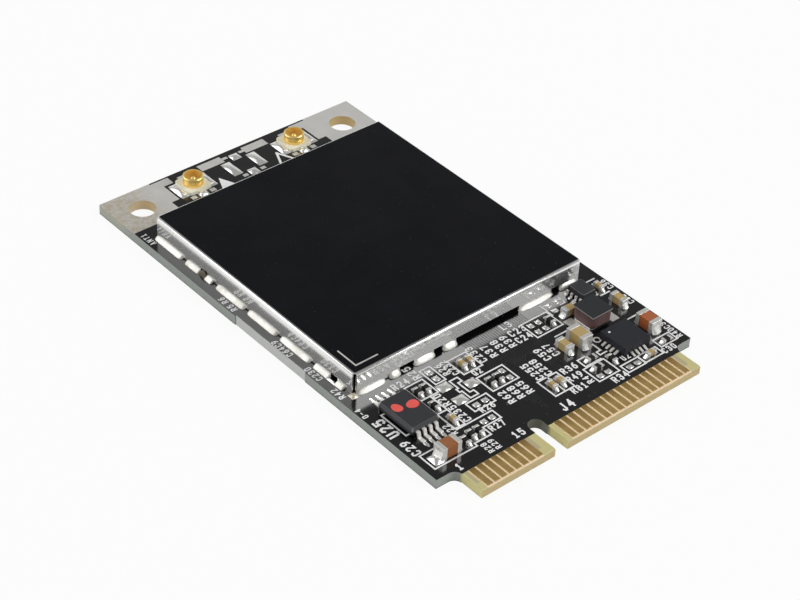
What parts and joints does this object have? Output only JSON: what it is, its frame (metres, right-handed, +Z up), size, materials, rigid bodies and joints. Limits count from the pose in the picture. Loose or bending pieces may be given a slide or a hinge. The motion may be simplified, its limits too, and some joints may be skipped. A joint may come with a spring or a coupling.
{
  "type": "wifi card",
  "caption": "Slim radio card for a keyed edge socket, with a metal shield can, small soldered parts, coaxial antenna sockets and screw holes at its rear corners.",
  "frame": {"origin": "centre of the card's underside", "axes": "+Z up out of the component side, +Y from the edge contacts to the antenna sockets"},
  "size_m": [0.03, 0.051, 0.0033],
  "materials": {
    "laminate": "woven glass laminate, satin",
    "solder_mask": "glossy black lacquer",
    "contact_gold": "thin gold plating over copper",
    "tinned_copper": "matte tin",
    "can_metal": "tin-plated sheet, half bright",
    "film": "matte black film",
    "solder": "bright reflowed solder",
    "chip_moulding": "fine grained moulding",
    "capacitor_tan": "fired ceramic",
    "capacitor_brown": "fired ceramic",
    "resistor_glaze": "black glaze",
    "termination": "tin plating",
    "ferrite": "pressed ferrite",
    "winding": "enamelled wire under varnish",
    "socket_plastic": "heat-proof moulding",
    "socket_gold": "gold plating"
  },
  "bodies": {
    "root": {"antenna_socket_left_base": "socket_plastic", "antenna_socket_left_pin": "socket_gold", "antenna_socket_left_shell": "socket_gold", "antenna_socket_left_tabs": "termination", "antenna_socket_right_base": "socket_plastic", "antenna_socket_right_pin": "socket_gold", "antenna_socket_right_shell": "socket_gold", "antenna_socket_right_tabs": "termination", "band_filters": "capacitor_tan", "bare_land_solder": "solder", "circuit_board": "laminate", "component_solder": "solder", "converter_chip_body": "chip_moulding", "converter_chip_pads": "solder", "crystal_lid": "termination", "crystal_tray": "capacitor_tan", "edge_contacts_bottom": "contact_gold", "edge_contacts_top": "contact_gold", "edge_plating": "tinned_copper", "front_end_left_chip": "chip_moulding", "front_end_right_chip": "chip_moulding", "ground_land_left": "tinned_copper", "ground_land_right": "tinned_copper", "inductor_core": "ferrite", "inductor_terminals": "termination", "inductor_winding": "winding", "input_capacitor_left_body": "capacitor_brown", "input_capacitor_left_terminations": "termination", "input_capacitor_right_body": "capacitor_brown", "input_capacitor_right_terminations": "termination", "medium_capacitor_bodies": "capacitor_tan", "medium_capacitor_terminations": "termination", "memory_chip_body": "chip_moulding", "memory_chip_leads": "termination", "output_capacitor_body": "capacitor_tan", "output_capacitor_terminations": "termination", "radio_chip": "chip_moulding", "rear_ground_strips": "tinned_copper", "resistor_bodies": "resistor_glaze", "resistor_terminations": "termination", "shield_can": "can_metal", "shield_film": "film", "shield_solder": "solder", "shielded_capacitors": "capacitor_tan", "small_capacitor_bodies": "capacitor_tan", "small_capacitor_terminations": "termination", "solder_lands": "tinned_copper", "solder_mask_bottom": "solder_mask", "solder_mask_top": "solder_mask", "switch_chip_body": "chip_moulding", "switch_chip_leads": "termination"}
  },
  "joints": []
}
